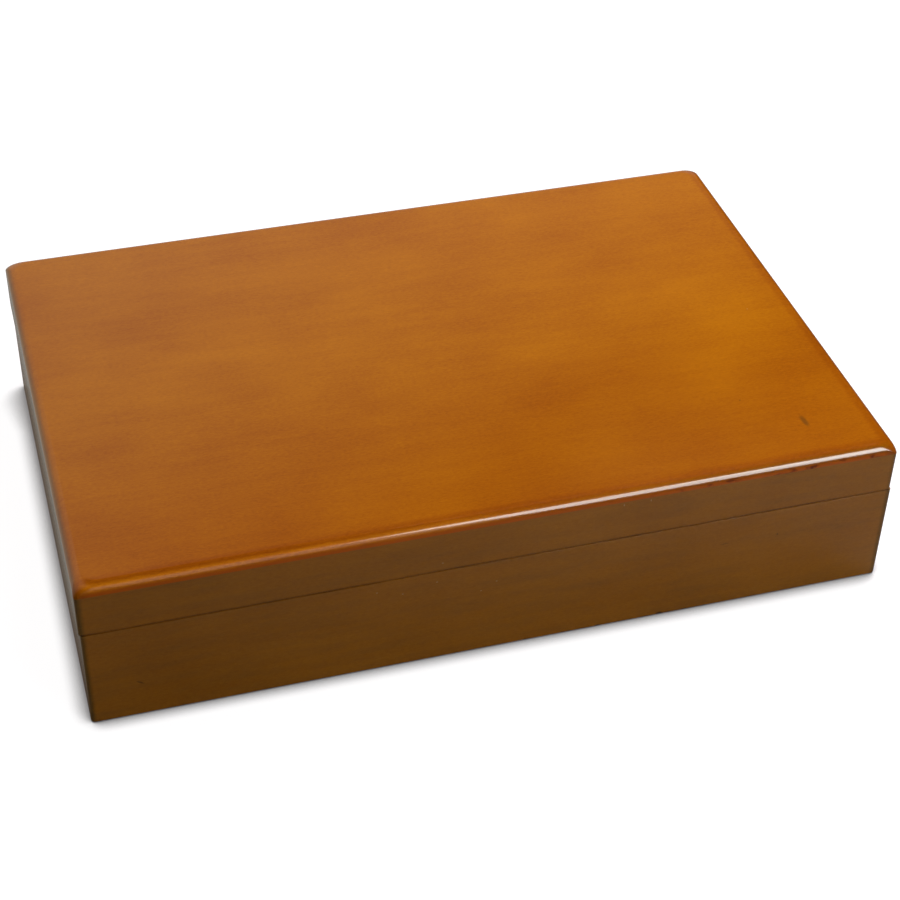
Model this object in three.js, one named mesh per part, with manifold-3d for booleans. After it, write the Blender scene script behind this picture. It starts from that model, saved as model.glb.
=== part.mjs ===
// Wooden presentation case with a hinged lid, closed. Millimetres, +Z up, front towards -Y.
// The origin is the middle of the footprint, on the surface that the case stands on.
// Base and lid are mitred frames. A panel closes each one, and velvet-covered liners and pads fit inside.
// The back rims are bevelled, so two brass hinges sit in the groove and the bevels stop the open lid.
import * as THREE from "three";
import { mergeVertices } from "three/addons/utils/BufferGeometryUtils.js";
import Module from "manifold-3d";

const wasm = await Module();
wasm.setup();

// Outside of the case
const caseLength = 305;
const caseDepth = 205;
const caseHeight = 64.5;
const lidHeight = 21.5;
const lidSlip = 0.5; // the closed lid sits this far to the left of the base
const partingGap = 0.3;
const edgeRadius = 1.4; // upright outer edges
const topRoundover = 4; // upper edges of the lid panel
const topCornerRadius = 6.5; // corners of the lid's flat top, in plan

// Wooden frames and panels
const wall = 10;
const glueGap = 0.15;
const bottomThick = 4;
const bottomRabbet = 5; // how far the bottom panel is let into the walls
const feltThick = 1.1;
const feltRecess = 0.3; // the felt stays this far above the rim that the case stands on

// Linings and pads
const linerThick = 2.2;
const linerGap = 0.9; // between a liner and the wall, and so round the lip that the lid drops over
const lipHeight = 4; // the base liners stand this far above the parting plane
const cardThick = 1.5;
const padThick = 6;
const padGap = 0.3;
const padCorner = 3;
const padEdge = 1.5;

// Hinges
const hingeSpacing = 186;
const leafLength = 32;
const leafWidth = 6.6;
const leafThick = 1.2;
const leafGap = 0.5; // between the two leaves of a closed hinge
const knuckleRadius = 1.7;
const knuckleGap = 0.3;
const pinRadius = 0.8;
const pinHead = 0.5;
const runningGap = 0.2;
const barrelClearance = 0.4; // round the barrel, in the wood and in the other leaf
const axisInset = 3; // from the back face to the hinge axis
const bevelAngle = THREE.MathUtils.degToRad(48.5);
const screwSpacing = 18;
const screwHeadRadius = 1.7;
const screwShankRadius = 0.85;
const screwLength = 7;
const screwPoint = 1.75; // tapered end of the shank
const screwSlot = 0.5; // width and depth
const headRecess = 0.05; // from the leaf's face down to the head
const countersinkRise = 0.2; // the countersink opens this far above the head

// Derived places
const partingZ = caseHeight - lidHeight;
const baseTop = partingZ - partingGap / 2;
const lidBottom = partingZ + partingGap / 2;
const panelThick = topRoundover;
const panelBottom = caseHeight - panelThick;
const lidFrameTop = panelBottom - glueGap;
const bottomPanelBottom = feltRecess + feltThick + glueGap;
const bottomPanelTop = bottomPanelBottom + bottomThick;
const rabbetTop = bottomPanelTop + glueGap;
const axisY = caseDepth / 2 - axisInset;
const insideLength = caseLength - 2 * (wall + linerGap + linerThick);
const insideDepth = caseDepth - 2 * (wall + linerGap + linerThick);

const wood = material(0xa9672a, 0.35, 0);
const panelWood = material(0xb06a20, 0.3, 0);
const rawWood = material(0xa9825a, 0.7, 0);
const velvet = material(0x5a1220, 0.95, 0);
const satin = material(0xd9c9a6, 0.5, 0);
const card = material(0x8c8578, 0.9, 0);
const felt = material(0x23382b, 0.95, 0);
const brass = material(0xc9a04a, 0.3, 1);

function material(color, roughness, metalness) {
  return new THREE.MeshStandardMaterial({ color, roughness, metalness });
}

function piece(parent, name, geometry, finish) {
  const mesh = new THREE.Mesh(geometry, finish);
  mesh.name = name;
  parent.add(mesh);
  return mesh;
}

// Solids from geometry, and back
function solid(geometry) {
  const bare = geometry.index ? geometry.toNonIndexed() : geometry.clone();
  bare.deleteAttribute("normal");
  bare.deleteAttribute("uv");
  const merged = mergeVertices(bare, 1e-4);
  return new wasm.Manifold(
    new wasm.Mesh({
      numProp: 3,
      vertProperties: new Float32Array(merged.attributes.position.array),
      triVerts: new Uint32Array(merged.index.array),
    }),
  );
}

function geometryOf(body) {
  const mesh = body.getMesh();
  const geometry = new THREE.BufferGeometry();
  geometry.setAttribute("position", new THREE.BufferAttribute(mesh.vertProperties, 3));
  geometry.setIndex(new THREE.BufferAttribute(mesh.triVerts, 1));
  geometry.computeVertexNormals();
  return geometry;
}

function cut(geometry, tools) {
  return geometryOf(tools.reduce((body, tool) => body.subtract(solid(tool)), solid(geometry)));
}

function join(geometries) {
  return geometryOf(geometries.map(solid).reduce((body, other) => body.add(other)));
}

// Basic shapes
function box(low, high) {
  const size = high.map((value, i) => value - low[i]);
  return new THREE.BoxGeometry(...size).translate(
    ...high.map((value, i) => (value + low[i]) / 2),
  );
}

function centredBox(length, depth, z0, z1) {
  return box([-length / 2, -depth / 2, z0], [length / 2, depth / 2, z1]);
}

// A bar along X with the section given as [y, z] points.
function barAlongX(section, length) {
  const outline = new THREE.Shape(section.map(([y, z]) => new THREE.Vector2(y, z)));
  return new THREE.ExtrudeGeometry(outline, { depth: length, bevelEnabled: false })
    .translate(0, 0, -length / 2)
    .applyMatrix4(new THREE.Matrix4().makeBasis(unit(1), unit(2), unit(0)));
}

function unit(axis) {
  return new THREE.Vector3().setComponent(axis, 1);
}

function rodAlongX(radius, x0, x1) {
  return new THREE.CylinderGeometry(radius, radius, x1 - x0, 20)
    .rotateZ(Math.PI / 2)
    .translate((x0 + x1) / 2, 0, 0);
}

function roundedRectangle(length, depth, radius) {
  const x = length / 2;
  const y = depth / 2;
  const shape = new THREE.Shape();
  shape.moveTo(-x + radius, -y);
  shape.lineTo(x - radius, -y);
  shape.absarc(x - radius, -y + radius, radius, -Math.PI / 2, 0);
  shape.lineTo(x, y - radius);
  shape.absarc(x - radius, y - radius, radius, 0, Math.PI / 2);
  shape.lineTo(-x + radius, y);
  shape.absarc(-x + radius, y - radius, radius, Math.PI / 2, Math.PI);
  shape.lineTo(-x, -y + radius);
  shape.absarc(-x + radius, -y + radius, radius, Math.PI, 1.5 * Math.PI);
  return shape;
}

// One side of a mitred frame, outer face on y = 0, with half of each rounded corner.
function mitredBoard(length, z0, z1) {
  const end = length / 2 - glueGap;
  const shape = new THREE.Shape();
  shape.absarc(-end + edgeRadius, edgeRadius, edgeRadius, 1.25 * Math.PI, 1.5 * Math.PI);
  shape.absarc(end - edgeRadius, edgeRadius, edgeRadius, 1.5 * Math.PI, 1.75 * Math.PI);
  shape.lineTo(end - wall, wall);
  shape.lineTo(-end + wall, wall);
  const board = new THREE.ExtrudeGeometry(shape, {
    depth: z1 - z0,
    bevelEnabled: false,
    curveSegments: 4,
  });
  return board.translate(0, 0, z0);
}

// The four boards of a frame, in place round the middle of the case.
function frameBoards(z0, z1) {
  const long = () => mitredBoard(caseLength, z0, z1);
  const short = () => mitredBoard(caseDepth, z0, z1);
  return {
    front: long().translate(0, -caseDepth / 2, 0),
    back: long().rotateZ(Math.PI).translate(0, caseDepth / 2, 0),
    left: short().rotateZ(-Math.PI / 2).translate(-caseLength / 2, 0, 0),
    right: short().rotateZ(Math.PI / 2).translate(caseLength / 2, 0, 0),
  };
}

// The bevel along a back rim: below the parting plane for the base (side -1), above it for the lid (side 1).
function rimBevel(side) {
  const reach = 2 * axisInset;
  const section = [
    [axisY, partingZ],
    [axisY + reach, partingZ + side * reach * Math.tan(bevelAngle)],
    [axisY + reach, partingZ - side * reach],
    [axisY, partingZ - side * reach],
  ];
  return barAlongX(side > 0 ? section : section.reverse(), caseLength + 2 * wall);
}

// Room for one leaf, its barrel and its screws in a back board. slip is the board's own shift along X.
function hingeSeats(side, slip) {
  const z0 = partingZ + side * (leafGap / 2 + leafThick + glueGap);
  const z1 = partingZ - side * wall;
  const leafBack = axisY + axisInset;
  const tools = [];
  for (const x of [-hingeSpacing / 2, hingeSpacing / 2]) {
    const half = leafLength / 2 + glueGap + pinHead;
    const left = x - slip - half;
    const right = x - slip + half;
    const leafFront = axisY - leafWidth - glueGap;
    tools.push(box([left, leafFront, Math.min(z0, z1)], [right, leafBack, Math.max(z0, z1)]));
    const barrelRoom = rodAlongX(knuckleRadius + barrelClearance, left, right);
    tools.push(barrelRoom.translate(0, axisY, partingZ));
    for (const screwX of [-screwSpacing / 2, screwSpacing / 2]) {
      const pilot = new THREE.CylinderGeometry(
        screwShankRadius + runningGap,
        screwShankRadius + runningGap,
        2 * (screwLength + leafGap),
        12,
      );
      pilot.rotateX(Math.PI / 2);
      tools.push(pilot.translate(x - slip + screwX, axisY - screwLine(), partingZ));
    }
  }
  return tools;
}

// How far the row of screws is from the hinge axis.
function screwLine() {
  const flatStart = knuckleRadius + barrelClearance;
  return (flatStart + leafWidth) / 2;
}

// The base frame's rabbet, which takes the bottom panel and the felt.
function bottomRecess() {
  const inset = 2 * (wall - bottomRabbet);
  return centredBox(caseLength - inset, caseDepth - inset, -1, rabbetTop);
}

// The lid's panel: the flat top's rounded rectangle grows down and out to the frame's outline.
function lidPanel() {
  const steps = 8;
  const rings = [];
  for (let i = 0; i <= steps; i++) {
    const turn = ((i / steps) * Math.PI) / 2;
    const inset = topRoundover * (1 - Math.cos(turn));
    const radius = edgeRadius + (topCornerRadius - edgeRadius) * Math.sin(turn);
    rings.push({
      outline: roundedRectangle(caseLength - 2 * inset, caseDepth - 2 * inset, radius),
      z: panelBottom + topRoundover * Math.sin(turn),
    });
  }
  return loft(rings);
}

// A closed body through outlines that have the same number of points, lowest first.
function loft(rings) {
  const positions = [];
  const index = [];
  const loops = rings.map(({ outline }) => outline.getPoints(5).slice(0, -1));
  const count = loops[0].length;
  loops.forEach((loop, level) => loop.forEach(({ x, y }) => positions.push(x, y, rings[level].z)));
  for (let level = 0; level + 1 < loops.length; level++)
    for (let i = 0; i < count; i++) {
      const a = level * count + i;
      const b = level * count + ((i + 1) % count);
      index.push(a, b, b + count, a, b + count, a + count);
    }
  const last = (loops.length - 1) * count;
  for (let i = 1; i + 1 < count; i++) {
    index.push(0, i + 1, i);
    index.push(last, last + i, last + i + 1);
  }
  const geometry = new THREE.BufferGeometry();
  geometry.setAttribute("position", new THREE.Float32BufferAttribute(positions, 3));
  geometry.setIndex(index);
  geometry.computeVertexNormals();
  return geometry;
}

// A soft pad with eased edges between two heights.
function pad(z0, z1) {
  const outline = roundedRectangle(
    insideLength - 2 * (padGap + padEdge),
    insideDepth - 2 * (padGap + padEdge),
    padCorner - padEdge,
  );
  return new THREE.ExtrudeGeometry(outline, {
    depth: z1 - z0 - 2 * padEdge,
    bevelThickness: padEdge,
    bevelSize: padEdge,
    bevelSegments: 3,
    curveSegments: 4,
  }).translate(0, 0, z0 + padEdge);
}

function addWalls(parent, prefix, boards) {
  for (const [side, geometry] of Object.entries(boards))
    piece(parent, `${prefix}_${side}_board`, geometry, wood);
}

// Four liners inside a frame: the long ones run through and the short ones stand between them.
function addLiners(parent, prefix, z0, z1) {
  const x1 = caseLength / 2 - wall - linerGap;
  const y1 = caseDepth / 2 - wall - linerGap;
  const x0 = x1 - linerThick;
  const y0 = y1 - linerThick;
  const end = y0 - glueGap;
  piece(parent, `${prefix}_front_liner`, box([-x1, -y1, z0], [x1, -y0, z1]), velvet);
  piece(parent, `${prefix}_back_liner`, box([-x1, y0, z0], [x1, y1, z1]), velvet);
  piece(parent, `${prefix}_left_liner`, box([-x1, -end, z0], [-x0, end, z1]), velvet);
  piece(parent, `${prefix}_right_liner`, box([x0, -end, z0], [x1, end, z1]), velvet);
}

function addBase(parent) {
  const boards = frameBoards(0, baseTop);
  for (const side of Object.keys(boards)) {
    const tools = [bottomRecess()];
    if (side !== "front") tools.push(rimBevel(-1));
    if (side === "back") tools.push(...hingeSeats(-1, parent.position.x));
    boards[side] = cut(boards[side], tools);
  }
  addWalls(parent, "base", boards);

  const inset = 2 * (wall - bottomRabbet + glueGap);
  const floorLength = caseLength - inset;
  const floorDepth = caseDepth - inset;
  const floor = centredBox(floorLength, floorDepth, bottomPanelBottom, bottomPanelTop);
  piece(parent, "bottom_panel", floor, rawWood);
  const underside = centredBox(floorLength, floorDepth, feltRecess, feltRecess + feltThick);
  piece(parent, "underside_felt", underside, felt);

  const linerBottom = rabbetTop;
  addLiners(parent, "base", linerBottom, partingZ + lipHeight);
  const cardBottom = rabbetTop;
  const cardTop = cardBottom + cardThick;
  const cardLength = insideLength - 2 * padGap;
  const cardDepth = insideDepth - 2 * padGap;
  piece(parent, "floor_card", centredBox(cardLength, cardDepth, cardBottom, cardTop), card);
  piece(parent, "floor_pad", pad(cardTop + padGap, cardTop + padGap + padThick), velvet);
}

function addLid(parent) {
  const boards = frameBoards(lidBottom, lidFrameTop);
  for (const side of ["back", "left", "right"]) {
    const tools = [rimBevel(1)];
    if (side === "back") tools.push(...hingeSeats(1, parent.position.x));
    boards[side] = cut(boards[side], tools);
  }
  addWalls(parent, "lid", boards);
  piece(parent, "lid_panel", lidPanel(), panelWood);

  const linerBottom = partingZ + lipHeight + linerGap;
  addLiners(parent, "lid", linerBottom, lidFrameTop);
  const cardTop = lidFrameTop;
  const cardBottom = cardTop - cardThick;
  const cardLength = insideLength - 2 * padGap;
  const cardDepth = insideDepth - 2 * padGap;
  piece(parent, "lid_card", centredBox(cardLength, cardDepth, cardBottom, cardTop), card);
  piece(parent, "lid_pad", pad(cardBottom - padGap - padThick, cardBottom - padGap), satin);
}

// One leaf with its knuckles, hinge axis along X through the origin. The base's leaf (side -1) has the
// two outer knuckles and lies below the axis; the lid's leaf (side 1) has the middle one.
function hingeLeaf(side) {
  const third = leafLength / 3;
  const ends = leafLength / 2;
  const inner = third / 2;
  const outerKnuckles = [
    [-ends, -inner - knuckleGap / 2],
    [inner + knuckleGap / 2, ends],
  ];
  const middleKnuckle = [[-inner + knuckleGap / 2, inner - knuckleGap / 2]];
  const knuckles = side < 0 ? outerKnuckles : middleKnuckle;
  const near = (side * leafGap) / 2;
  const far = side * (leafGap / 2 + leafThick);
  const z0 = Math.min(near, far);
  const z1 = Math.max(near, far);
  const flatBack = -(knuckleRadius + barrelClearance);
  const parts = [box([-ends, -leafWidth, z0], [ends, flatBack, z1])];
  for (const [x0, x1] of knuckles) {
    parts.push(box([x0, flatBack - leafThick, z0], [x1, -pinRadius, z1]));
    parts.push(rodAlongX(knuckleRadius, x0, x1));
  }
  const bore = rodAlongX(pinRadius + runningGap, -leafLength, leafLength);
  const tools = [bore];
  for (const x of [-screwSpacing / 2, screwSpacing / 2])
    tools.push(screwShape(runningGap, side).translate(x, -screwLine(), near));
  return cut(join(parts), tools);
}

// A countersunk wood screw, head flush with the leaf and point away from the parting plane.
// grow widens it into the hole that takes it.
function screwShape(grow, side) {
  const head = screwHeadRadius + grow;
  const shank = screwShankRadius + grow;
  const profile = [
    [0, -screwLength - grow],
    [shank, screwPoint - screwLength - grow],
    [shank, shank - head],
    [head, 0],
  ];
  const mouth = grow ? [[head, countersinkRise], [0, countersinkRise]] : [[0, 0]];
  const points = [...profile, ...mouth].map(([r, z]) => new THREE.Vector2(r, z));
  const turned = new THREE.LatheGeometry(points, 16).rotateX(Math.PI / 2);
  return side < 0 ? turned : turned.rotateX(Math.PI);
}

function slottedScrew(side) {
  const half = screwSlot / 2;
  const reach = screwHeadRadius + 1;
  const slot = box([-reach, -half, -screwSlot], [reach, half, screwSlot]);
  return cut(screwShape(0, side), [slot]);
}

function hingePin() {
  const half = leafLength / 2;
  const points = [
    new THREE.Vector2(0, -half - pinHead),
    new THREE.Vector2(pinRadius / 2, -half - pinHead),
    new THREE.Vector2(pinRadius, -half - pinHead / 2),
    new THREE.Vector2(pinRadius, half + pinHead / 2),
    new THREE.Vector2(pinRadius / 2, half + pinHead),
    new THREE.Vector2(0, half + pinHead),
  ];
  return new THREE.LatheGeometry(points, 12).rotateZ(Math.PI / 2);
}

function addHinge(parent, hand, x) {
  const hinge = new THREE.Group();
  hinge.position.set(x, axisY, partingZ);
  parent.add(hinge);
  piece(hinge, `${hand}_hinge_pin`, hingePin(), brass);
  for (const [owner, side] of [
    ["base", -1],
    ["lid", 1],
  ]) {
    piece(hinge, `${hand}_hinge_${owner}_leaf`, hingeLeaf(side), brass);
    for (const [place, sign] of [
      ["outer", hand === "left" ? -1 : 1],
      ["inner", hand === "left" ? 1 : -1],
    ]) {
      const screw = piece(hinge, `${hand}_${owner}_leaf_${place}_screw`, slottedScrew(side), brass);
      const headHeight = side * (leafGap / 2 + headRecess);
      screw.position.set((sign * screwSpacing) / 2, -screwLine(), headHeight);
    }
  }
}

const presentationCase = new THREE.Group();
const base = new THREE.Group();
base.position.x = lidSlip / 2;
addBase(base);
const lid = new THREE.Group();
lid.position.x = -lidSlip / 2;
addLid(lid);
presentationCase.add(base, lid);
addHinge(presentationCase, "left", -hingeSpacing / 2);
addHinge(presentationCase, "right", hingeSpacing / 2);

export default presentationCase;
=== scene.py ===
"""Looks of a wooden presentation case with a hinged lid, lined in velvet and satin.

Metres, +Z up, front at -Y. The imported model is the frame, and every piece takes its place from the CAD node
that it stands for. The boards are sections swept between two mitres, the lid panel is a loft with a
rounded-over edge, the liners are wrapped boards, the two pads are swelled by cloth simulation, and the hinges
are brass leaves on a pin.
"""

import math

import bmesh
import bpy
from mathutils import Matrix, Vector


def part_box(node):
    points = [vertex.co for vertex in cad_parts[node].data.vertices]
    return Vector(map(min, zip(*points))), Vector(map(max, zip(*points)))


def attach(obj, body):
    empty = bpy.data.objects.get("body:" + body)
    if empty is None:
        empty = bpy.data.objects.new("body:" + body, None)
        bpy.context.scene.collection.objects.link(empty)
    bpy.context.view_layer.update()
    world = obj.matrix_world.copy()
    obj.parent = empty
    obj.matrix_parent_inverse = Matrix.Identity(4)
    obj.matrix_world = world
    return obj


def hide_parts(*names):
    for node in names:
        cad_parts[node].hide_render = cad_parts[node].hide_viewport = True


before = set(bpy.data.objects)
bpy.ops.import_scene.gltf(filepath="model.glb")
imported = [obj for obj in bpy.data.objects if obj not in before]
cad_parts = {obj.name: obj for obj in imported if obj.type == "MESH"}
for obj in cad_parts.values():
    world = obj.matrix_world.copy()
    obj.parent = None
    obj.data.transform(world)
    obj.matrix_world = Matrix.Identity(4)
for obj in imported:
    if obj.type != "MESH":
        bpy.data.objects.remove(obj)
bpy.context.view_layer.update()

MM = 0.001

# Camera
VIEW_FROM = Vector((-0.17415, -0.60056, 0.52360))
VIEW_TURN = math.radians(17.03)  # from +Y towards +X
VIEW_DIP = math.radians(39.22)  # below the horizon
VIEW_ROLL = math.radians(1.413)
LENS = 79.32  # mm
SENSOR = 36  # mm wide

# Wooden parts
WALL = 10 * MM
RIM_WIDTH = 5 * MM  # lower face of the base boards, outside the rabbet
EDGE_RADIUS = 1.4 * MM  # upright outer edges
FOOT_RADIUS = 1.0 * MM
RIM_ARRIS = 0.04 * MM  # upper edge of the base
LID_ARRIS = 0.4 * MM  # lower edge of the lid
INNER_RADIUS = 0.4 * MM
SEAM = 0.03 * MM  # between glued pieces
TOP_CORNER_RADIUS = 6.5 * MM  # corners of the lid's flat top, in plan
BEVEL_ANGLE = math.radians(48.5)

# Hinges
LEAF_THICK = 1.2 * MM
LEAF_GAP = 0.5 * MM  # between the two leaves of a closed hinge
BORE_GAP = 0.2 * MM
KNUCKLE_GAP = 0.3 * MM
BARREL_ROOM = 0.4 * MM
SEAT_GAP = 0.15 * MM
SCREW_SLOT = 0.5 * MM
PLATE_ARRIS = 0.18 * MM
HINGE_ARRIS = 0.1 * MM
SCREW_DOME = 0.072 * MM
HAIR = 0.01 * MM  # keeps faces of two joined shapes out of one plane

# Pads
BLANK_INSET = 0.15 * MM  # the flat blank is that much narrower all round than the pad may be
SWELL_STEPS = 20

SMOOTH_BELOW = math.radians(32)


# Shapes


def rounded(corners, steps=8):
    """Points round a closed outline of (x, y, radius) corners, with an arc in each rounded one."""
    points = []
    for i, (x, y, radius) in enumerate(corners):
        corner = Vector((x, y))
        back = (Vector(corners[i - 1][:2]) - corner).normalized()
        ahead = (Vector(corners[(i + 1) % len(corners)][:2]) - corner).normalized()
        if not radius:
            points.append(corner)
            continue
        half = back.angle(ahead) / 2
        centre = corner + (back + ahead).normalized() * radius / math.sin(half)
        first = (corner + back * radius / math.tan(half) - centre).normalized()
        last = (corner + ahead * radius / math.tan(half) - centre).normalized()
        points += [centre + radius * first.slerp(last, k / steps) for k in range(steps + 1)]
    return points


def skin(rings):
    """A closed mesh through rings of points that all have the same number of points."""
    bm = bmesh.new()
    rows = [[bm.verts.new(point) for point in ring] for ring in rings]
    for lower, upper in zip(rows, rows[1:]):
        for i in range(len(lower)):
            j = (i + 1) % len(lower)
            bm.faces.new((lower[i], lower[j], upper[j], upper[i]))
    bm.faces.new(reversed(rows[0]))
    bm.faces.new(rows[-1])
    return clean(bm)


def clean(bm):
    bmesh.ops.remove_doubles(bm, verts=bm.verts, dist=1e-7)
    bmesh.ops.dissolve_degenerate(bm, edges=bm.edges, dist=1e-7)
    bmesh.ops.recalc_face_normals(bm, faces=bm.faces)
    return bm


def block(low, high, radius=0.0, steps=3):
    """A box between two corners, with its edges rounded."""
    bm = bmesh.new()
    bmesh.ops.create_cube(bm, size=1)
    size = Vector(high) - Vector(low)
    middle = (Vector(high) + Vector(low)) / 2
    bm.transform(Matrix.Translation(middle) @ Matrix.Diagonal((*size, 1)))
    if radius:
        shape = {"segments": steps, "profile": 0.5, "clamp_overlap": True}
        bmesh.ops.bevel(bm, geom=bm.edges[:], offset=radius, affect="EDGES", **shape)
    return clean(bm)


def grid_block(low, high, step):
    """A box whose faces are cut into squares of about step."""
    bm = block(low, high)
    for axis in range(3):
        count = max(1, round((high[axis] - low[axis]) / step))
        for k in range(1, count):
            point = Vector(low).lerp(Vector(high), k / count)
            normal = Vector((0, 0, 0))
            normal[axis] = 1
            geometry = bm.verts[:] + bm.edges[:] + bm.faces[:]
            bmesh.ops.bisect_plane(bm, geom=geometry, plane_co=point, plane_no=normal)
    return bm


def turned(profile, segments=32):
    """A shape turned about the Z axis, from (radius, height) points, with flat ends."""
    rings = []
    for radius, height in profile:
        turns = [2 * math.pi * k / segments for k in range(segments)]
        rings.append([Vector((radius * math.cos(t), radius * math.sin(t), height)) for t in turns])
    return skin(rings)


def rod(radius, x0, x1, y, z, segments=40):
    """A plain rod along X."""
    bm = turned([(radius, x0), (radius, x1)], segments)
    bm.transform(Matrix.Translation((0, y, z)) @ Matrix.Rotation(math.pi / 2, 4, "Y"))
    return bm


def cut_plane(bm, point, normal):
    """Takes away what is in front of the plane, and closes the cut."""
    geometry = bm.verts[:] + bm.edges[:] + bm.faces[:]
    made = bmesh.ops.bisect_plane(bm, geom=geometry, plane_co=point, plane_no=normal, clear_outer=True)
    edges = [part for part in made["geom_cut"] if isinstance(part, bmesh.types.BMEdge)]
    bmesh.ops.holes_fill(bm, edges=edges)
    return clean(bm)


def made_object(name, bm):
    mesh = bpy.data.meshes.new(name)
    bm.to_mesh(mesh)
    bm.free()
    made = bpy.data.objects.new(name, mesh)
    bpy.context.scene.collection.objects.link(made)
    return made


def settle(made):
    """Applies an object's modifiers to its mesh."""
    bpy.context.view_layer.update()
    shaped = bpy.data.meshes.new_from_object(made.evaluated_get(bpy.context.evaluated_depsgraph_get()))
    made.modifiers.clear()
    made.data = shaped
    return made


def combine(made, meshes, operation):
    """Joins meshes to an object, or cuts them out of it."""
    tools = [made_object(f"{made.name}_tool", bm) for bm in meshes]
    for tool in tools:
        modifier = made.modifiers.new(operation, "BOOLEAN")
        modifier.operation = operation
        modifier.solver = "EXACT"
        modifier.object = tool
    settle(made)
    for tool in tools:
        bpy.data.objects.remove(tool)
    return made


def finish_piece(made, body, slot, material, *replaced):
    """Gives a piece its surface, and its place in the frame."""
    mesh = made.data
    mesh.name = made.name
    mesh.materials.clear()
    mesh.materials.append(material)
    mesh.shade_smooth()
    mesh.set_sharp_from_angle(angle=SMOOTH_BELOW)
    even = made.modifiers.new("even_faces", "WEIGHTED_NORMAL")
    even.keep_sharp = True
    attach(made, body)
    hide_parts(*replaced)
    return made


# Materials


def colour(code):
    """Linear colour from a hexadecimal sRGB code."""
    parts = [int(code[i : i + 2], 16) / 255 for i in (1, 3, 5)]
    return tuple(p / 12.92 if p <= 0.04045 else ((p + 0.055) / 1.055) ** 2.4 for p in parts) + (1,)


class Nodes:
    """Short ways to add nodes to a node tree. A socket given as a value is linked."""

    def __init__(self, tree):
        self.tree = tree

    def add(self, kind, values=None, **settings):
        node = self.tree.nodes.new("ShaderNode" + kind)
        for name, setting in settings.items():
            setattr(node, name, setting)
        for name, value in (values or {}).items():
            if isinstance(value, bpy.types.NodeSocket):
                self.tree.links.new(value, node.inputs[name])
            else:
                node.inputs[name].default_value = value
        return node

    def math(self, operation, first, second=0.0, clamp=False):
        return self.add("Math", {0: first, 1: second}, operation=operation, use_clamp=clamp).outputs[0]

    def vector(self, operation, first, second=(0, 0, 0)):
        return self.add("VectorMath", {0: first, 1: second}, operation=operation).outputs[0]

    def mix(self, factor, first, second, mode="MIX"):
        """Two colours mixed. They are a Mix node's inputs 6 and 7, and its output 2."""
        node = self.add("Mix", {0: factor, 6: first, 7: second}, data_type="RGBA", blend_type=mode)
        return node.outputs[2]

    def remap(self, value, low, high, to_low=0.0, to_high=1.0, kind="LINEAR"):
        values = {"Value": value, "From Min": low, "From Max": high, "To Min": to_low, "To Max": to_high}
        return self.add("MapRange", values, interpolation_type=kind, clamp=True).outputs[0]

    def place(self, vector, offset=(0, 0, 0), scale=(1, 1, 1), turn=(0, 0, 0)):
        values = {"Vector": vector, "Location": offset, "Scale": scale, "Rotation": turn}
        return self.add("Mapping", values).outputs[0]

    def noise(self, vector, size, stretch=(1, 1, 1), detail=2.0, roughness=0.5, seed=0.0):
        """Noise with features of about that size, longer along an axis whose stretch is above 1."""
        scale = tuple(1 / (size * s) for s in stretch)
        placed = self.place(vector, (seed, 1.7 * seed, 2.3 * seed), scale)
        values = {"Vector": placed, "Scale": 1.0, "Detail": detail, "Roughness": roughness}
        return self.add("TexNoise", values).outputs[0]

    def parts(self, vector):
        return self.add("SeparateXYZ", {0: vector}).outputs

    def bump(self, height, distance, strength=1.0, normal=None):
        values = {"Height": height, "Distance": distance, "Strength": strength}
        if normal:
            values["Normal"] = normal
        return self.add("Bump", values).outputs[0]


class Surface(Nodes):
    """A new material with a Principled shader, worked out from places on the object."""

    def __init__(self, name):
        self.material = bpy.data.materials.new(name)
        self.material.use_nodes = True
        super().__init__(self.material.node_tree)
        self.shader = self.tree.nodes["Principled BSDF"]
        self.at = self.add("TexCoord").outputs["Object"]

    def set(self, **values):
        for name, value in values.items():
            socket = self.shader.inputs[name.replace("_", " ").title().replace("Ior", "IOR")]
            if isinstance(value, bpy.types.NodeSocket):
                self.tree.links.new(value, socket)
            else:
                socket.default_value = value
        return self.material


PANEL_DARK, PANEL_PALE = "#8b4502", "#ac6503"
BOARD_DARK, BOARD_PALE = "#8b530f", "#a56819"
GRAIN = {"X": (8, 1, 1), "Y": (1, 8, 1)}  # how many times longer than wide a fibre is

# Colours laid over the wood
PORE = (0.10, 0.02, 0.001, 1)
GREY_STREAK = (0.085, 0.055, 0.022, 1)
# painted shade along the boards' lower edges: at the parting line, and where the base meets the floor
LOWER_EDGE_SHADE = (0.05, 0.012, 0.001, 1)
FOOT_STAIN = (0.45, 0.088, 0.001, 1)
RUN_STAIN = (0.07, 0.008, 0.001, 1)
DARK_DENT = (0.04, 0.018, 0.006, 1)
PALE_SPECK = (0.5, 0.33, 0.16, 1)

# Factors that multiply its colour
# painted shade on the upright rounded edges
CORNER_SHADE_TINT = (0.5, 0.62, 0.8, 1)
# painted shade on the panel's rounded-over edge along the front and the right
EDGE_SHADE_TINT = (0.88, 0.78, 0.62, 1)
FRONT_TINT = (0.92, 0.84, 1, 1)
BACK_TINT = (1.04, 1.08, 1, 1)
# painted shade, greyish, at the panel's left end
LEFT_SHADE_TINT = (0.74, 0.86, 0.9, 1)
# painted highlight: a paler band round the panel's front edge, less red towards the right
HIGHLIGHT_TINT_LEFT = (2.0, 2.5, 1, 1)
HIGHLIGHT_TINT_RIGHT = (0.95, 1.4, 1, 1)


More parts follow.
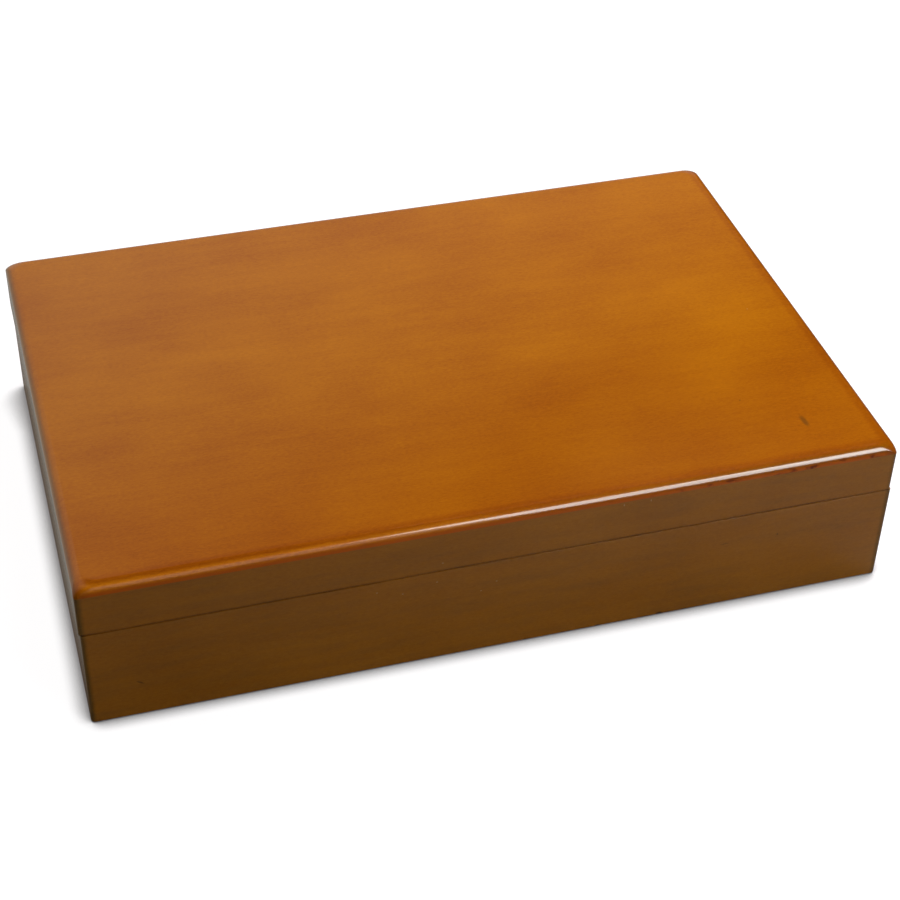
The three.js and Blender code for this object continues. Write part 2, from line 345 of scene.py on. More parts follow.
class Wood(Surface):
    """Stained wood. More stain, painted shade and a painted highlight are laid over it in layers, and
    lacquered() gives the material.
    """

    def __init__(self, name, dark, pale, axis, seed):
        super().__init__(name)
        self.seed = seed
        self.long = GRAIN[axis]
        self.half_long = tuple(math.sqrt(v) for v in self.long)
        sway = self.noise(self.at, 90 * MM, detail=1, seed=seed)
        lean = self.math("MULTIPLY", self.math("SUBTRACT", sway, 0.5), 6 * MM)
        across = "Y" if axis == "X" else "X"
        swayed = self.add("CombineXYZ", {across: lean, "Z": lean}).outputs[0]
        self.grain_at = self.vector("ADD", self.at, swayed)
        self.x, self.y, self.z = self.parts(self.at)

        fibres = self.noise(self.grain_at, 0.6 * MM, self.half_long, detail=4, roughness=0.75, seed=seed)
        flecks = self.noise(self.grain_at, 0.6 * MM, self.half_long, detail=1, seed=seed + 3)
        bands = self.noise(self.grain_at, 4 * MM, self.long, detail=4, roughness=0.6, seed=seed + 5)
        clouds = self.noise(self.at, 46 * MM, detail=2, roughness=0.45, seed=seed + 9)
        tone = 0.5
        for layer, weight in ((fibres, 1.5), (bands, 0.55), (clouds, 0.9)):
            tone = self.math("ADD", tone, self.math("MULTIPLY", self.math("SUBTRACT", layer, 0.5), weight))
        tone = self.math("ADD", tone, 0.0, clamp=True)
        self.wood_colour = self.mix(tone, colour(dark), colour(pale))
        pores = self.remap(flecks, 0.60, 0.76)
        self.lay(self.math("MULTIPLY", pores, 0.10), PORE)
        self.ridge = self.math("SUBTRACT", fibres, self.math("MULTIPLY", pores, 0.6))

    def lay(self, share, wood_colour):
        """Covers a share of the wood with a colour, for stains and for painted shade."""
        self.wood_colour = self.mix(share, self.wood_colour, wood_colour)

    def tint(self, share, factors):
        """Multiplies the wood's colour, for tints and for painted shade and highlight."""
        self.wood_colour = self.mix(share, self.wood_colour, factors, mode="MULTIPLY")

    def within(self, *shares):
        """The product of several shares."""
        product = shares[0]
        for share in shares[1:]:
            product = self.math("MULTIPLY", product, share)
        return product

    def grey_streaks(self, strength):
        long = tuple(2 * v for v in self.long)
        streak = self.noise(self.grain_at, 1.8 * MM, long, detail=3, roughness=0.6, seed=self.seed + 6)
        self.lay(self.within(self.remap(streak, 0.42, 0.72), strength), GREY_STREAK)

    def paint_corner_shade(self, half_length, half_depth):
        """Paints shade on the upright edges of a case of that half size."""
        from_end = self.math("SUBTRACT", half_length, self.math("ABSOLUTE", self.x))
        from_face = self.math("SUBTRACT", half_depth, self.math("ABSOLUTE", self.y))
        near = self.remap(self.math("MAXIMUM", from_end, from_face), 2.2 * MM, 0.8 * MM)
        self.tint(near, CORNER_SHADE_TINT)

    def paint_lower_edge_shade(self, height, width, strength):
        """A ragged line of painted shade up the outer face from a board's lower edge, which isn't on its
        lower face.
        """
        ragged = self.noise(self.at, 5 * MM, (3, 1, 1), detail=3, seed=self.seed)
        near = self.remap(self.z, height + width, height, 0.0, strength, kind="SMOOTHSTEP")
        outside = self.remap(self.z, height, height + 0.05 * MM)
        self.lay(self.within(near, outside, self.remap(ragged, 0.3, 0.6, 0.4, 1.0)), LOWER_EDGE_SHADE)

    def dents(self, marks):
        """Small dents, (place, turn, length, width, strength). A strength below 0 makes it a pale speck."""
        for place, turn, length, width, strength in marks:
            spot = self.place(self.vector("SUBTRACT", self.at, place), turn=turn)
            spot = self.vector("DIVIDE", spot, (length, width, width))
            distance = self.add("VectorMath", {0: spot}, operation="LENGTH").outputs["Value"]
            inside = self.remap(distance, 1.0, 0.3, kind="SMOOTHSTEP")
            self.lay(self.within(inside, abs(strength)), DARK_DENT if strength > 0 else PALE_SPECK)
            self.ridge = self.math("SUBTRACT", self.ridge, self.math("MULTIPLY", inside, 2.0))

    def panel_wear_and_painted_light(self, middle, half, radius):
        """Colour of a panel with a rounded-over edge: paler to the back, with painted shade along the front
        and the right and at the left end, a painted highlight as a paler band round the front edge, and a red
        line and dark runs at that edge's foot."""
        x = self.x
        from_left = self.math("SUBTRACT", x, middle.x - half.x)
        from_right = self.math("SUBTRACT", middle.x + half.x, x)
        from_side = self.math("SUBTRACT", half.x, self.math("ABSOLUTE", self.math("SUBTRACT", x, middle.x)))
        from_front = self.math("SUBTRACT", self.y, middle.y - half.y)
        below = self.math("SUBTRACT", middle.z + half.z, self.z)

        # painted shade on the roundover along the front and the right
        nearest = self.math("MINIMUM", from_right, from_front)
        self.tint(self.remap(nearest, 1.6 * radius, 1.1 * radius, kind="SMOOTHSTEP"), EDGE_SHADE_TINT)
        to_back = self.remap(from_front, 0, 0.9 * half.y)
        self.tint(1.0, self.mix(to_back, FRONT_TINT, BACK_TINT))

        in_front = self.within(
            self.remap(from_front, 1.3 * radius, radius),
            self.remap(from_side, 0.5 * radius, 1.5 * radius),
        )
        # painted highlight: a paler band round the front edge, where the strips' reflection falls
        lower = self.remap(below, 0.85 * radius, 0.5 * radius)
        highlight_band = self.within(self.remap(below, 0.06 * radius, 0.22 * radius), lower)
        to_right = self.remap(x, -0.4 * half.x, 0.7 * half.x)
        self.tint(self.within(highlight_band, in_front), self.mix(to_right, HIGHLIGHT_TINT_LEFT, HIGHLIGHT_TINT_RIGHT))

        foot = self.within(self.remap(below, 0.45 * radius, 0.8 * radius, kind="SMOOTHSTEP"), in_front)
        self.lay(foot, FOOT_STAIN)
        runs = self.remap(self.noise(self.at, 3 * MM, (2, 1, 1), detail=3, seed=31), 0.52, 0.64)
        at_right = self.remap(x, 0.3 * half.x, 0.55 * half.x)
        self.lay(self.within(runs, foot, at_right, 0.8), RUN_STAIN)
        # painted shade, greyish, at the panel's left end
        self.tint(self.remap(from_left, 0.6 * radius, 0.2 * radius), LEFT_SHADE_TINT)

    def lacquered(self):
        """The material: the grain in a dull ground, under a clear coat that fills most of it."""
        grain = self.bump(self.ridge, 0.03 * MM, 0.3)
        ripple = self.noise(self.at, 3.5 * MM, self.half_long, detail=1, seed=self.seed + 2)
        film = self.bump(ripple, 0.02 * MM, 0.15, normal=self.bump(self.ridge, 0.01 * MM, 0.2))
        return self.set(
            base_color=self.wood_colour,
            roughness=0.5,
            specular_ior_level=0.05,
            normal=grain,
            coat_weight=1.0,
            coat_roughness=0.1,
            coat_ior=1.52,
            coat_normal=film,
        )


def bare_plywood():
    s = Surface("bare_plywood")
    fibres = s.noise(s.at, 0.9 * MM, GRAIN["X"], detail=3, seed=4)
    bands = s.noise(s.at, 14 * MM, (5, 1, 1), detail=2, seed=5)
    tone = s.math("MULTIPLY", s.math("ADD", fibres, bands), 0.5)
    wood_colour = s.mix(s.remap(tone, 0.3, 0.7), colour("#9a7448"), colour("#c19c6c"))
    dulled = s.remap(fibres, 0.3, 0.7, 0.6, 0.8)
    return s.set(base_color=wood_colour, roughness=dulled, normal=s.bump(fibres, 0.1 * MM))


def pressed_felt():
    s = Surface("pressed_felt")
    fibres = s.noise(s.at, 0.5 * MM, (1, 2.5, 1), detail=4, roughness=0.7, seed=1)
    patches = s.noise(s.at, 25 * MM, detail=2, seed=2)
    tone = s.math("MULTIPLY", s.math("ADD", fibres, patches), 0.5)
    dye = s.mix(s.remap(tone, 0.35, 0.65), colour("#1f3a2c"), colour("#456655"))
    fuzz = s.bump(fibres, 0.3 * MM)
    return s.set(base_color=dye, roughness=0.95, specular_ior_level=0.1, sheen_weight=0.5, normal=fuzz)


def velvet():
    """Short pile whose nap was brushed in patches."""
    s = Surface("velvet")
    pile = s.noise(s.at, 0.35 * MM, detail=3, roughness=0.7, seed=1)
    nap = s.noise(s.at, 40 * MM, (1.5, 1, 1), detail=2, roughness=0.5, seed=7)
    strokes = s.noise(s.at, 4 * MM, (5, 1, 1), detail=2, seed=8)
    brushed = s.remap(s.math("ADD", nap, s.math("MULTIPLY", strokes, 0.3)), 0.45, 0.85)
    dye = s.mix(brushed, colour("#4e0c19"), colour("#6e1727"))
    dye = s.mix(s.math("MULTIPLY", pile, 0.5), dye, colour("#2c050c"))
    return s.set(
        base_color=dye,
        roughness=0.9,
        specular_ior_level=0.1,
        sheen_weight=0.6,
        sheen_roughness=0.35,
        sheen_tint=colour("#e0808c"),
        normal=s.bump(pile, 0.25 * MM, 0.6),
    )


def satin():
    """Champagne satin: a fine weave whose long threads run across the case."""
    s = Surface("satin")
    threads = s.noise(s.at, 0.28 * MM, (1, 30, 1), detail=2, seed=2)
    rows = s.noise(s.at, 0.22 * MM, (14, 1, 1), detail=1, seed=3)
    shade = s.noise(s.at, 30 * MM, (1, 2, 1), detail=2, seed=4)
    tone = s.math("ADD", s.math("MULTIPLY", threads, 0.7), s.math("MULTIPLY", shade, 0.3))
    dye = s.mix(s.remap(tone, 0.3, 0.7), colour("#d9cba4"), colour("#f0e6cb"))
    weave = s.bump(s.math("ADD", threads, s.math("MULTIPLY", rows, 0.5)), 0.06 * MM, 0.5)
    return s.set(
        base_color=dye,
        roughness=s.remap(threads, 0.3, 0.7, 0.3, 0.42),
        specular_ior_level=0.6,
        anisotropic=0.5,
        sheen_weight=0.25,
        sheen_roughness=0.4,
        normal=weave,
    )


def grey_board():
    s = Surface("grey_board")
    fibres = s.noise(s.at, 0.8 * MM, (2, 1, 1), detail=4, roughness=0.7, seed=1)
    pulp = s.mix(s.remap(fibres, 0.3, 0.7), colour("#45413a"), colour("#625d53"))
    return s.set(base_color=pulp, roughness=0.9, normal=s.bump(fibres, 0.1 * MM))


def brass(name, seed):
    """Polished brass with fine draw lines along X, tarnished a little in patches."""
    s = Surface(name)
    lines = s.noise(s.at, 0.12 * MM, (40, 1, 1), detail=2, seed=seed)
    tarnish = s.noise(s.at, 3 * MM, detail=3, roughness=0.6, seed=seed + 1)
    metal = s.mix(s.remap(tarnish, 0.45, 0.75), colour("#dfb45a"), colour("#a87a34"))
    metal = s.mix(s.math("MULTIPLY", lines, 0.25), metal, colour("#f3d68c"))
    dulled = s.math("ADD", s.remap(tarnish, 0.4, 0.7, 0.30, 0.45), s.math("MULTIPLY", lines, 0.08))
    return s.set(base_color=metal, metallic=1.0, roughness=dulled, normal=s.bump(lines, 0.01 * MM, 0.3))


# Stage, light and camera


def make_camera():
    lens = bpy.data.cameras.new("camera")
    lens.sensor_width = SENSOR
    lens.lens = LENS
    camera = bpy.data.objects.new("camera", lens)
    bpy.context.scene.collection.objects.link(camera)
    turn = Matrix.Rotation(-VIEW_TURN, 4, "Z")
    dip = Matrix.Rotation(math.pi / 2 - VIEW_DIP, 4, "X")
    camera.matrix_world = Matrix.Translation(VIEW_FROM) @ turn @ dip @ Matrix.Rotation(VIEW_ROLL, 4, "Z")
    bpy.context.scene.camera = camera


FLOOR_SIZE = 8.0
FLOOR_GREY = 0.08  # what the floor throws back at the case
LEFT_GLOW = 0.36  # it is bright on the left
FRONT_GREY = 0.11  # and some in front of the right end
LEFT_OF_CASE = (-0.145, -0.165)  # where the left side's shadow takes over from the front's
SHADOW_REACH = (9 * MM, 12 * MM)  # in front, and on the left
REACH_BEHIND = 12 * MM  # how much further it reaches at the back
DARKEST = (0.42, 0.51)  # share of open sky where the shadow is darkest, in front and on the left
LIGHTEST = (0.85, 0.84)  # and where it ends


def floor_seen(n, x, y):
    """The floor that the camera sees: burnt out to white, but for the contact shadow."""
    reach = n.remap(x, *LEFT_OF_CASE, *SHADOW_REACH)
    reach = n.math("ADD", reach, n.remap(y, 0.07, 0.11, 0.0, REACH_BEHIND))
    open_sky = n.add("AmbientOcclusion", {"Distance": reach}).outputs["AO"]
    darkest = n.remap(x, *LEFT_OF_CASE, *DARKEST)
    lightest = n.remap(x, *LEFT_OF_CASE, *LIGHTEST)
    glow = n.remap(open_sky, darkest, lightest, 0.08, 0.95)
    white = n.add("Emission", {"Color": (1, 1, 1, 1), "Strength": glow}).outputs[0]
    shaded = n.add("BsdfDiffuse", {"Color": (0.19, 0.17, 0.18, 1)}).outputs[0]
    return n.add("AddShader", {0: white, 1: shaded}).outputs[0]


def floor_reflected(n, x, y):
    """The floor that the case sees: dark grey, with painted light paler in front of the right end, painted
    shade further out in front, and glowing on the left.
    """
    # painted light and shade: paler in front of the right end, darker further out in front
    front = n.math("MULTIPLY", n.remap(x, -0.12, 0.12, 0.0, FRONT_GREY), n.remap(y, -0.09, -0.11))
    grey = n.math("MULTIPLY", n.math("ADD", front, FLOOR_GREY), n.remap(y, -0.28, -0.20, 0.2, 1.0))
    tone = n.add("CombineXYZ", {0: grey, 1: grey, 2: grey}).outputs[0]
    left = n.math("MULTIPLY", n.remap(x, -0.15, -0.165), n.remap(y, -0.12, -0.04))
    glow = n.math("MULTIPLY", left, LEFT_GLOW)
    dull = n.add("BsdfDiffuse", {"Color": tone}).outputs[0]
    bright = n.add("Emission", {"Color": (0.94, 1, 0.92, 1), "Strength": glow}).outputs[0]
    return n.add("AddShader", {0: dull, 1: bright}).outputs[0]


def make_floor():
    bm = bmesh.new()
    bmesh.ops.create_grid(bm, x_segments=8, y_segments=8, size=FLOOR_SIZE / 2)
    floor = made_object("floor", bm)
    material = bpy.data.materials.new("floor_white")
    material.use_nodes = True
    n = Nodes(material.node_tree)
    n.tree.nodes.clear()
    x, y, _ = n.parts(n.add("NewGeometry").outputs["Position"])
    by_camera = n.add("LightPath").outputs["Is Camera Ray"]
    shown = n.add("MixShader", {0: by_camera, 1: floor_reflected(n, x, y), 2: floor_seen(n, x, y)})
    n.add("OutputMaterial", {"Surface": shown.outputs[0]})
    floor.data.materials.append(material)


BACKDROP = 0.42  # brightness of the white backdrop
BACKDROP_MIDDLE = (0.225, 0.632)  # radians from +Y towards +X, and up, where it is half as bright
BACKDROP_FALL = (-0.98, -1.71)  # how that changes with each, per radian
BACKDROP_RIGHT = (0.65, 0.45)  # radians from +Y over which its right end comes in


def make_world():
    """White to the camera. To the case it is dark, with a white backdrop low down at the back left."""
    world = bpy.data.worlds.new("studio")
    world.use_nodes = True
    bpy.context.scene.world = world
    n = Nodes(world.node_tree)
    n.tree.nodes.clear()
    x, y, z = n.parts(n.add("TexCoord").outputs["Generated"])
    height = n.math("ARCSINE", z)
    aside = n.math("ARCTAN2", x, y)
    fall_aside = n.math("MULTIPLY", n.math("SUBTRACT", aside, BACKDROP_MIDDLE[0]), BACKDROP_FALL[0])
    fall_up = n.math("MULTIPLY", n.math("SUBTRACT", height, BACKDROP_MIDDLE[1]), BACKDROP_FALL[1])
    sweep = n.math("ADD", n.math("ADD", fall_aside, fall_up), BACKDROP / 2)
    sweep = n.remap(sweep, 0.0, BACKDROP, 0.0, BACKDROP)
    behind = n.math("MULTIPLY", n.remap(y, -0.1, 0.3), n.remap(aside, *BACKDROP_RIGHT))
    strength = n.math("MULTIPLY", sweep, behind)
    by_camera = n.add("LightPath").outputs["Is Camera Ray"]
    lit = n.add("Background", {"Color": (1, 1, 1, 1), "Strength": strength}).outputs[0]
    seen = n.add("Background", {"Color": (1, 1, 1, 1), "Strength": 1.1}).outputs[0]
    shown = n.add("MixShader", {0: by_camera, 1: lit, 2: seen}).outputs[0]
    n.add("OutputWorld", {"Surface": shown})


def make_light(name, place, target, size, power, shine=True, light_up=True):
    lamp = bpy.data.lights.new(name, "AREA")
    lamp.shape = "RECTANGLE"
    lamp.size, lamp.size_y = size
    lamp.energy = power
    light = bpy.data.objects.new(name, lamp)
    bpy.context.scene.collection.objects.link(light)
    light.location = place
    light.rotation_mode = "QUATERNION"
    light.rotation_quaternion = (Vector(target) - Vector(place)).to_track_quat("-Z", "Y")
    light.visible_camera = False
    light.visible_glossy = shine
    light.visible_diffuse = light_up
    return light


def make_lights():
    """Soft lights above and behind, on the left and in front, and strips that only glance off the lacquer."""
    make_light("key", (0.36, 0.30, 0.80), (0, 0, 0.04), (0.5, 0.5), 9.5, shine=False)
    make_light("front", (-0.05, -1.25, 0.95), (0, -0.1, 0.04), (1.4, 0.8), 3.5, shine=False)
    make_light("fill", (0.28, -0.60, 0.38), (0.04, -0.10, 0.03), (0.3, 0.3), 1.6, shine=False)
    make_light("strip", (0.59, -0.97, 0.745), (0.05, -0.1, 0.06), (0.72, 0.72), 15.5, light_up=False)
    make_light("strip_far", (0.12, -0.97, 0.69), (-0.05, -0.1, 0.06), (0.45, 0.66), 0.7, light_up=False)
    make_light("left", (-0.77, 0.25, 0.12), (-0.15, 0, 0.03), (0.4, 0.2), 1.9, shine=False)
    make_light("strip_end", (0.73, -0.87, 0.745), (0.05, -0.1, 0.06), (0.40, 0.66), 3.5, light_up=False)
    bpy.context.scene.view_settings.view_transform = "Standard"


# Wood


def board_mesh(length, profile):
    """A frame side with its outer face on y = 0, from (depth, height) points, mitred at both ends.
    Its ends follow the upright edges' radius as far as the mitre."""
    steps = 8
    end = length / 2
    rings = []
    for sign in (-1, 1):
        turns = range(steps + 1) if sign < 0 else range(steps, -1, -1)
        for k in turns:
            turn = math.pi / 4 * (1 - k / steps)
            ring = []
            for depth, height in profile:
                radius = max(0.0, EDGE_RADIUS - depth)
                inset = max(EDGE_RADIUS, depth)
                x = end - inset + radius * math.sin(turn)
                y = inset - radius * math.cos(turn)
                ring.append(Vector((sign * x, y, height)))
            rings.append(ring)
    return skin(rings)


SIDES = {"front": 0, "right": 1, "back": 2, "left": 3}  # quarter turns


def frame_sides(prefix, profile):
    """The four boards of a frame, each an object in place."""
    boxes = [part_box(f"{prefix}_{side}_board") for side in SIDES]
    low = Vector([min(low[i] for low, _ in boxes) for i in range(3)])
    high = Vector([max(high[i] for _, high in boxes) for i in range(3)])
    middle = (low + high) / 2
    size = high - low
    sides = {}
    for side, quarters in SIDES.items():
        across = quarters % 2 == 0
        length, depth = (size.x, size.y) if across else (size.y, size.x)
        bm = board_mesh(length - 2 * SEAM, profile)
        turn = Matrix.Rotation(quarters * math.pi / 2, 4, "Z")
        outward = Matrix.Translation((0, -depth / 2, 0))
        bm.transform(Matrix.Translation((middle.x, middle.y, 0)) @ turn @ outward)
        sides[side] = clean(bm)
    return sides


def barrel_axis():
    """Where the hinge axis is, and the barrel's radius."""
    low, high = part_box("left_hinge_base_leaf")
    radius = (high.z - low.z) / 2
    return high.y - radius, (low.z + high.z) / 2, radius


def bevel_rims(sides, sign):
    """Cuts the V-groove's half into the back rims, and into the ends of the side rims."""
    y, z, _ = barrel_axis()
    normal = Vector((0, math.sin(BEVEL_ANGLE), -sign * math.cos(BEVEL_ANGLE)))
    for side in ("left", "right", "back"):
        cut_plane(sides[side], Vector((0, y, z)), normal)


def seat_hinges(board, leaf, sign):
    """Cuts the mortises and the barrels' grooves into a back board."""
    y, z, radius = barrel_axis()
    cutters = []
    for hand in ("left", "right"):
        low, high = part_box(f"{hand}_hinge_{leaf}_leaf")
        pin_low, pin_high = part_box(f"{hand}_hinge_pin")
        left = pin_low.x - SEAT_GAP
        right = pin_high.x + SEAT_GAP
        floor_z = z + sign * (LEAF_GAP / 2 + LEAF_THICK + SEAT_GAP)
        open_z = z - sign * WALL
        cutters.append(block(
            (left, low.y - SEAT_GAP, min(floor_z, open_z)),
            (right, y + WALL, max(floor_z, open_z)),
        ))
        cutters.append(rod(radius + BARREL_ROOM, left, right, y, z))
    combine(board, cutters, "DIFFERENCE")


def board_wood(name, axis, seed, marks, line):
    """The colour of a frame's board, with painted shade. line is the painted shade line's (height, width,
    strength).
    """
    low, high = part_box("base_front_board")
    wood = Wood(f"{name}_stain", BOARD_DARK, BOARD_PALE, axis, seed)
    wood.grey_streaks(0.2)
    wood.paint_corner_shade(high.x, -low.y)
    wood.paint_lower_edge_shade(*line)
    wood.dents(marks)
    return wood.lacquered()


def make_boards(body, sign, profile, line, seeds, front_marks):
    """A frame's boards. sign is -1 for the base and 1 for the lid."""
    sides = frame_sides(body, profile)
    bevel_rims(sides, sign)
    for seed, (side, bm) in zip(seeds, sides.items()):
        name = f"{body}_{side}_board"
        board = made_object(f"{name}_wood", bm)
        if side == "back":
            seat_hinges(board, body, sign)
        axis = "X" if side in ("front", "back") else "Y"
        marks = front_marks if side == "front" else ()
        finish_piece(board, body, "wood", board_wood(name, axis, seed, marks, line), name)


def at_front(x, z):
    """A place on the front faces, from millimetres along the case and up it."""
    return (x * MM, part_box("base_front_board")[0].y, z * MM)


def make_base_frame():
    low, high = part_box("base_front_board")
    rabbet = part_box("floor_card")[0].z
    profile = rounded([
        (0, low.z, FOOT_RADIUS),
        (RIM_WIDTH, low.z, INNER_RADIUS),
        (RIM_WIDTH, rabbet, 0),
        (WALL, rabbet, 0),
        (WALL, high.z, INNER_RADIUS),
        (0, high.z, RIM_ARRIS),
    ])
    # painted shade up from the foot, where the case meets the floor
    line = (low.z, 1.2 * MM, 0.85)
    front_marks = [
        (at_front(-133.5, 16.0), (0, -0.6, 0), 2.2 * MM, 0.5 * MM, 0.6),
        (at_front(86.4, 30.7), (0, 0, 0), 2.4 * MM, 0.3 * MM, 0.5),
        (at_front(107.7, 30.8), (0, 0, 0), 0.5 * MM, 0.5 * MM, 0.7),
        (at_front(62.9, 0.9), (0, 0, 0), 1.8 * MM, 1.0 * MM, 0.9),
        (at_front(38.0, 0.7), (0, 0, 0), 1.4 * MM, 0.6 * MM, 0.7),
    ]
    for x, z in ((-47.4, 38.2), (-37.9, 35.4), (-25.2, 38.2), (-8.5, 29.9), (-2.7, 33.3), (8.4, 0.6)):
        front_marks.append((at_front(x, z), (0, 0, 0), 0.5 * MM, 0.35 * MM, -0.5))
    make_boards("base", -1, profile, line, (11, 18, 25, 32), front_marks)


def make_lid_frame():
    low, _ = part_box("lid_front_board")
    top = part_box("lid_panel")[0].z - SEAM
    profile = rounded([
        (0, low.z, LID_ARRIS),
        (WALL, low.z, INNER_RADIUS),
        (WALL, top, 0),
        (0, top, 0),
    ])
    # painted shade up from the lid's lower edge, along the parting line
    line = (low.z, 1.0 * MM, 0.9)
    front_marks = [(at_front(x, 59.1), (0, 0, 0), 0.35 * MM, 0.7 * MM, -0.5) for x in (44.4, 54.7)]
    front_marks.append((at_front(-23.2, 46.9), (0, 0, 0), 0.5 * MM, 0.35 * MM, -0.5))
    make_boards("lid", 1, profile, line, (47, 56, 65, 74), front_marks)


def make_lid_panel():
    """The flat top's rounded rectangle grows down and out to the frame's outline."""
    low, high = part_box("lid_panel")
    middle = (low + high) / 2
    half = (high - low) / 2
    roundover = high.z - low.z
    steps = 20
    rings = []
    for k in range(steps + 1):
        turn = math.pi / 2 * k / steps
        inset = roundover * (1 - math.cos(turn))
        radius = EDGE_RADIUS + (TOP_CORNER_RADIUS - EDGE_RADIUS) * math.sin(turn)
        x, y = half.x - inset, half.y - inset
        outline = rounded([(-x, -y, radius), (x, -y, radius), (x, y, radius), (-x, y, radius)], 10)
        z = low.z + roundover * math.sin(turn)
        rings.append([Vector((middle.x + p.x, middle.y + p.y, z)) for p in outline])
    panel = made_object("lid_panel_wood", skin(rings))
    top = high.z
    marks = [
        ((123.9 * MM, -80.0 * MM, top), (0, 0, 1.5), 4.6 * MM, 1.5 * MM, 0.5),
        ((105.3 * MM, -62.1 * MM, top), (0, 0, 0), 0.5 * MM, 0.5 * MM, 0.6),
        ((131.5 * MM, -6.9 * MM, top), (0, 0, 0), 0.35 * MM, 0.35 * MM, -0.6),
    ]
    wood = Wood("lid_panel_stain", PANEL_DARK, PANEL_PALE, "X", 3)
    wood.panel_wear_and_painted_light(middle, half, roundover)
    wood.dents(marks)
    finish_piece(panel, "lid", "panel_wood", wood.lacquered(), "lid_panel")


# Linings


def make_liners(cloth):
    for body in ("base", "lid"):
        for side in SIDES:
            name = f"{body}_{side}_liner"
            low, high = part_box(name)
            thick = min(high.x - low.x, high.y - low.y)
            liner = made_object(f"{name}_velvet", block(low, high, 0.42 * thick, 5))
            finish_piece(liner, body, "velvet", cloth, name)


def swell_pad(pad, glued, swell, low, high):
    """Swells a pad, held where it is glued. No point moves further than swell, or out of the pad's box."""
    before = [v.co.copy() for v in pad.data.vertices]
    group = pad.vertex_groups.new(name="glued")
    group.add([v.index for v in pad.data.vertices if abs(v.co.z - glued) < 1e-5], 1.0, "REPLACE")
    stuffing = pad.modifiers.new("stuffing", "CLOTH")
    stuffing.collision_settings.use_collision = False
    settings = stuffing.settings
    settings.vertex_group_mass = "glued"
    settings.quality = 6
    settings.mass = 0.3
    settings.tension_stiffness = settings.compression_stiffness = 20
    settings.shear_stiffness = 8
    settings.bending_stiffness = 0.4
    settings.shrink_min = -0.012
    settings.use_pressure = True
    settings.uniform_pressure_force = 4
    settings.effector_weights.gravity = 0
    for step in range(1, SWELL_STEPS + 1):
        bpy.context.scene.frame_set(step)
    settle(pad)
    bpy.context.scene.frame_set(1)
    for vertex, was in zip(pad.data.vertices, before):
        moved = vertex.co - was
        if moved.length > swell:
            moved *= swell / moved.length
        place = was + moved
        for axis in range(3):
            place[axis] = min(high[axis], max(low[axis], place[axis]))
        vertex.co = place


def make_pad(name, body, slot, cloth, up, swell):
    """A crowned pad, from a flat blank on its card. up is 1 if it swells upwards, and -1 if down."""
    low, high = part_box(name)
    glued = low.z if up > 0 else high.z
    blank_low = low + Vector((BLANK_INSET, BLANK_INSET, 0 if up > 0 else swell))
    blank_high = high - Vector((BLANK_INSET, BLANK_INSET, swell if up > 0 else 0))
    pad = made_object(f"{name}_{slot}", grid_block(blank_low, blank_high, 4 * MM))
    swell_pad(pad, glued, swell, low, high)
    finer = pad.modifiers.new("finer", "SUBSURF")
    finer.levels = finer.render_levels = 1
    settle(pad)
    finish_piece(pad, body, slot, cloth, name)
    pad.modifiers.clear()


def make_felt():
    low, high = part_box("underside_felt")
    felt = made_object("underside_felt_sheet", block(low, high, 0.3 * MM, 3))
    finish_piece(felt, "base", "felt", pressed_felt(), "underside_felt")


# Hinges


def make_leaf(hand, owner, sign, metal):
    """A leaf with its knuckles: two outer ones on the base's, one between them on the lid's."""
    name = f"{hand}_hinge_{owner}_leaf"
    low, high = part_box(name)
    y, z, radius = barrel_axis()
    pin_low, pin_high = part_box(f"{hand}_hinge_pin")
    pin_radius = (pin_high.z - pin_low.z) / 2
    lid_low, lid_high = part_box(f"{hand}_hinge_lid_leaf")
    inner = (lid_high.x - lid_low.x) / 6  # half of the lid knuckle's share of the length
    middle = (lid_low.x + lid_high.x) / 2
    near = z + sign * LEAF_GAP / 2
    far = near + sign * LEAF_THICK
    z0, z1 = min(near, far), max(near, far)
    flat_back = y - radius - BARREL_ROOM
    plate = block((low.x, low.y, z0), (high.x, flat_back, z1), PLATE_ARRIS, 2)
    leaf = made_object(f"{name}_brass", plate)
    if sign < 0:
        spans = [(low.x, middle - inner - KNUCKLE_GAP / 2), (middle + inner + KNUCKLE_GAP / 2, high.x)]
    else:
        spans = [(middle - inner + KNUCKLE_GAP / 2, middle + inner - KNUCKLE_GAP / 2)]
    knuckles = []
    for x0, x1 in spans:
        web_low = (x0 + HAIR, flat_back - LEAF_THICK, z0 + HAIR)
        web_high = (x1 - HAIR, y - pin_radius, z1 - HAIR)
        knuckles.append(block(web_low, web_high))
        knuckles.append(rod(radius, x0, x1, y, z))
    combine(leaf, knuckles, "UNION")
    holes = [rod(pin_radius + BORE_GAP, low.x - WALL, high.x + WALL, y, z)]
    for place in ("outer", "inner"):
        holes.append(screw_mesh(f"{hand}_{owner}_leaf_{place}_screw", sign, BORE_GAP))
    combine(leaf, holes, "DIFFERENCE")
    softened = leaf.modifiers.new("softened", "BEVEL")
    softened.width = HINGE_ARRIS
    softened.segments = 2
    softened.limit_method = "ANGLE"
    softened.angle_limit = math.radians(50)
    settle(leaf)
    finish_piece(leaf, owner, "brass", metal, name)


def screw_mesh(name, sign, grow=0.0):
    """A countersunk screw with a faintly domed head, or the hole that takes it."""
    low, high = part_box(name)
    middle = (low + high) / 2
    head = (high.x - low.x) / 2 + grow
    shank = head / 2 + grow / 2
    length = high.z - low.z + grow
    if grow:
        mouth = [(head, 0), (head, 1 * MM), (0, 1 * MM)]
    else:
        mouth = [(head, -0.05 * MM), (0.8 * head, 0), (0.45 * head, SCREW_DOME), (0, SCREW_DOME)]
    profile = [(0, -length), (shank * 0.3, -length), (shank, -0.75 * length), (shank, shank - head), *mouth]
    bm = turned(profile, 32)
    top = low.z if sign > 0 else high.z
    if sign > 0:
        bm.transform(Matrix.Rotation(math.pi, 4, "X"))
    bm.transform(Matrix.Translation((middle.x, middle.y, top)))
    return clean(bm)


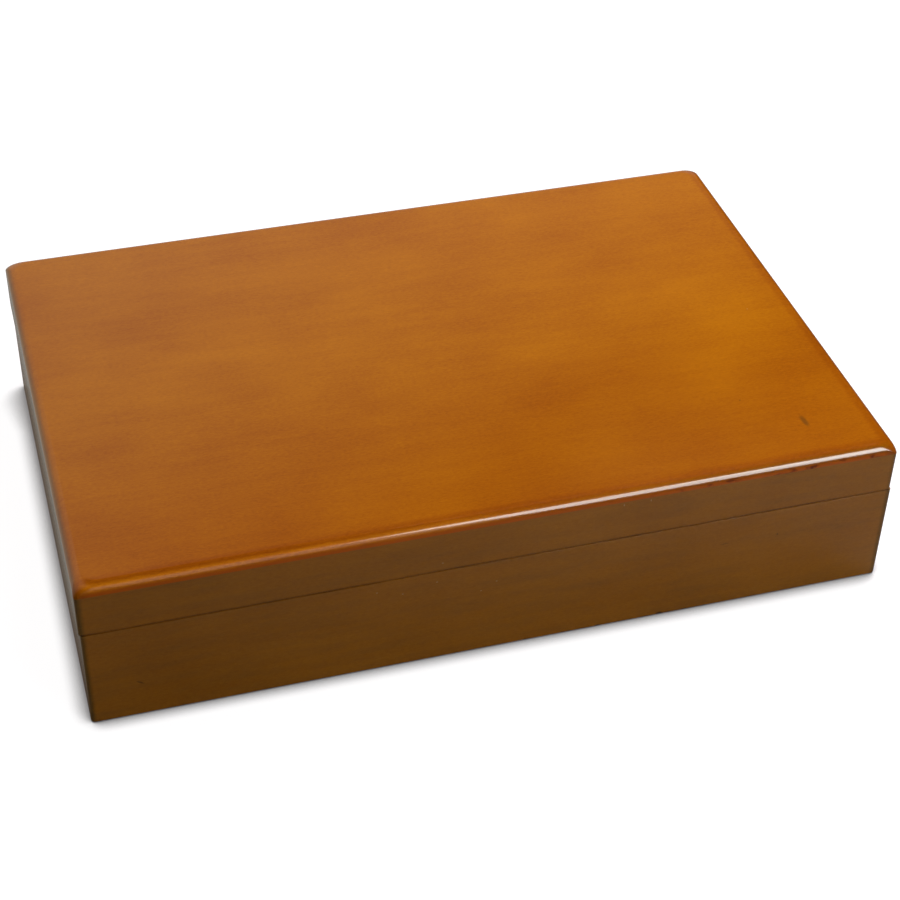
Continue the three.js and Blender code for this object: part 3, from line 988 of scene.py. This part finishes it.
def make_screws(hand, owner, sign, metal):
    for place, turn in (("outer", 0.5), ("inner", -0.9)):
        name = f"{hand}_{owner}_leaf_{place}_screw"
        low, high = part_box(name)
        middle = (low + high) / 2
        top = low.z if sign > 0 else high.z
        screw = made_object(f"{name}_brass", screw_mesh(name, sign))
        slot = block((-3 * MM, -SCREW_SLOT / 2, -SCREW_SLOT), (3 * MM, SCREW_SLOT / 2, SCREW_SLOT))
        slot.transform(Matrix.Translation((middle.x, middle.y, top)) @ Matrix.Rotation(turn, 4, "Z"))
        combine(screw, [slot], "DIFFERENCE")
        finish_piece(screw, owner, "brass", metal, name)


def make_pin(hand, metal):
    name = f"{hand}_hinge_pin"
    low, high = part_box(name)
    radius = (high.z - low.z) / 2
    ends = [(radius * math.sin(t), radius * 0.6 * (1 - math.cos(t))) for t in (0, 0.5, 1.0, math.pi / 2)]
    profile = [(r, low.x + rise) for r, rise in ends] + [(r, high.x - rise) for r, rise in reversed(ends)]
    bm = turned(profile, 32)
    centre = (low + high) / 2
    bm.transform(Matrix.Translation((0, centre.y, centre.z)) @ Matrix.Rotation(math.pi / 2, 4, "Y"))
    finish_piece(made_object(f"{name}_brass", clean(bm)), "base", "brass", metal, name)


def make_hinges():
    leaf_brass = brass("leaf_brass", 1)
    screw_brass = brass("screw_brass", 5)
    for hand in ("left", "right"):
        make_pin(hand, leaf_brass)
        for owner, sign in (("base", -1), ("lid", 1)):
            make_leaf(hand, owner, sign, leaf_brass)
            make_screws(hand, owner, sign, screw_brass)


def dress_hidden_boards():
    """The bottom panel and the two cards keep their CAD shape."""
    finishes = {"bottom_panel": bare_plywood(), "floor_card": grey_board(), "lid_card": grey_board()}
    for node, material in finishes.items():
        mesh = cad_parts[node].data
        mesh.materials.clear()
        mesh.materials.append(material)


make_camera()
make_floor()
make_world()
make_lights()
make_base_frame()
make_lid_frame()
make_lid_panel()
lining = velvet()
make_liners(lining)
make_pad("floor_pad", "base", "velvet", lining, 1, 2.2 * MM)
make_pad("lid_pad", "lid", "satin", satin(), -1, 2.6 * MM)
make_felt()
make_hinges()
dress_hidden_boards()
